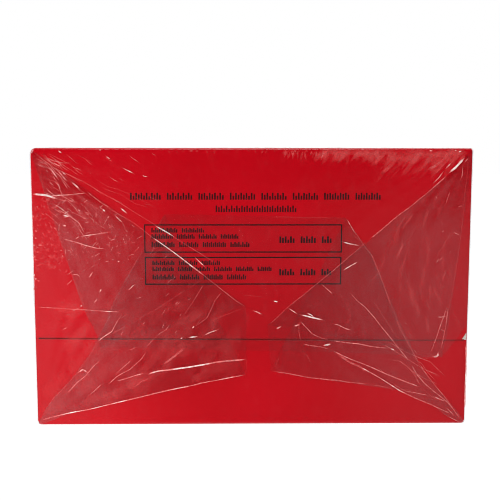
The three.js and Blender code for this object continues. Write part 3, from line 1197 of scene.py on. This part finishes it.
def crease_piece(name, lines, place, draw):
    """All the ridges of an end or of the sleeve, as one piece."""
    spots, heights, faces, whitening_and_glint = [], [], [], []
    count = 0
    for white, width, path in lines:
        more, raised, sides, white_at = ridge(path, width, white, draw)
        spots.append(more)
        heights.append(raised)
        faces += [tuple(index + count for index in face) for face in sides]
        whitening_and_glint.append(white_at)
        count += len(more)
    creases = piece_from(name, place(np.concatenate(spots), np.concatenate(heights)), faces)
    attribute = creases.data.attributes.new("whitening_and_glint", "FLOAT", "POINT")
    attribute.data.foreach_set("value", np.concatenate(whitening_and_glint))
    face_outwards(creases)
    bpy.ops.object.shade_smooth_by_angle(angle=math.radians(CREASE_SMOOTH_DEG))
    creases.data.materials.append(crease_and_glint_finish)
    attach(creases, "root")


crease_and_glint_finish = creased_film_painted_glint()
for way, side, seed, share in ((-1, "front", 21, 1), (1, "back", 22, 0.7)):
    draw = np.random.default_rng(seed)
    crease_piece(f"film_creases_{side}", end_lines(draw, share), on_end_film(way), draw)
draw = np.random.default_rng(23)
crease_piece("film_creases_sleeve", sleeve_lines(draw), on_sleeve, draw)

# Studio
# A pale floor that glows like a light table, dimmer to the right, a soft light low at the left and
# one overhead. The film mirrors a room of its own: dim before and behind the pack, with windows
# round the sides, tube lights overhead and a pale table below.
FLOOR_SIZE = 6
FLOOR_SEEN, FLOOR_GLOW, FLOOR_DIMMER = 1.08, 1.36, 0.56
DIM_FROM, DIM_TO = -0.1, 0.15
CORNER_AT, CORNER_GLOW, CORNER_REACH = (-0.085, -0.095, 0), 0.5, 0.1
LIGHTS_AIM = (0, -0.06, 0.05)
SKY, BACKDROP = 1.55, 1.0
FRONT_GLOW, SIDE_GLOW, LEFT_GLOW = 0.05, 0.22, 0.32
WALLS, WINDOWS, WINDOW_GLOW = 0.12, 7, 2.4
TABLE_GLOW, TABLE_SHADE = 0.7, 0.35
TUBES, TUBES_SKEW, TUBE_GLOW, CEILING = 24, 7, 0.75, 0.12

bpy.ops.mesh.primitive_plane_add(size=FLOOR_SIZE)
floor = bpy.context.object
floor.name = "floor"
floor.visible_glossy = False
floor_finish, bench = new_finish("pale_floor")
place = bench.place()
glow = FLOOR_GLOW - FLOOR_DIMMER * place.along((1, 0, 0)).between(DIM_FROM, DIM_TO)
glow += CORNER_GLOW * (1 - place.away_from(CORNER_AT).between(0, CORNER_REACH))
seen = bench.add("ShaderNodeLightPath", {}, {}, "Is Camera Ray")
glow = FLOOR_SEEN * seen + glow * (1 - seen)
close_finish(bench, bench.add("ShaderNodeEmission", {}, {"Color": glow}))
floor.data.materials.append(floor_finish)


def softbox(name, at, size, power):
    bpy.ops.object.light_add(type="AREA", location=at)
    light = bpy.context.object
    light.name = name
    light.data.shape = "RECTANGLE"
    light.data.size, light.data.size_y = size
    light.data.energy = power
    light.rotation_euler = (Vector(LIGHTS_AIM) - Vector(at)).to_track_quat("-Z", "Y").to_euler()


softbox("left_softbox", at=(-0.36, -0.30, 0.08), size=(0.15, 0.2), power=0.32)
softbox("overhead_softbox", at=(0, 0.25, 0.9), size=(0.6, 0.6), power=1)

world = bpy.data.worlds.new("studio_room")
bpy.context.scene.world = world
world.use_nodes = True
world.node_tree.nodes.clear()
bench = Wire(world.node_tree)
toward = bench.add("ShaderNodeTexCoord", {}, {}, "Generated")
forward, to_left, upward = (toward.along(way) for way in ((0, 1, 0), (-1, 0, 0), (0, 0, 1)))
downward = 0 - upward

# What the pack's two ends mirror, and what its long sides do
to_end, to_side = abs(forward).between(0.80, 0.93), abs(to_left).between(0.05, 0.25)
ends = downward.between(-0.02, 0.12) * (FRONT_GLOW + to_side * (SIDE_GLOW + LEFT_GLOW * to_left))
turned = bench.maths("ARCTAN2", forward, to_left)
windows = bench.maths("SINE", WINDOWS * turned, 0).between(-0.3, 0.5)
window_band = upward.between(0.12, 0.22) * (1 - upward.between(0.62, 0.8))
table = downward.between(0.02, 0.3) * (TABLE_SHADE + (1 - TABLE_SHADE) * windows)
sides = WALLS + WINDOW_GLOW * windows * window_band + TABLE_GLOW * table
tubes = bench.maths("SINE", TUBES * to_left + TUBES_SKEW * forward, 0).between(-0.1, 0.8)
ceiling = upward.between(0.5, 0.95) * (CEILING + TUBE_GLOW * tubes)
room = sides * (1 - to_end) + ends * to_end + ceiling

# The room for mirrored light, an even sky for the rest, and a plain backdrop for the camera
sky = SKY * bench.maths("MAXIMUM", upward, 0)
glossy = bench.add("ShaderNodeLightPath", {}, {}, "Is Glossy Ray")
seen = bench.add("ShaderNodeLightPath", {}, {}, "Is Camera Ray")
unseen = room * glossy + sky * (1 - glossy)
brightness = unseen * (1 - seen) + BACKDROP * seen
background = bench.add("ShaderNodeBackground", {}, {"Color": brightness})
world_output = world.node_tree.nodes.new("ShaderNodeOutputWorld")
world.node_tree.links.new(background.socket, world_output.inputs["Surface"])
bpy.context.scene.view_settings.view_transform = "Standard"
bpy.context.scene.cycles.transparent_max_bounces = 64
bpy.context.scene.cycles.filter_width = 1.0
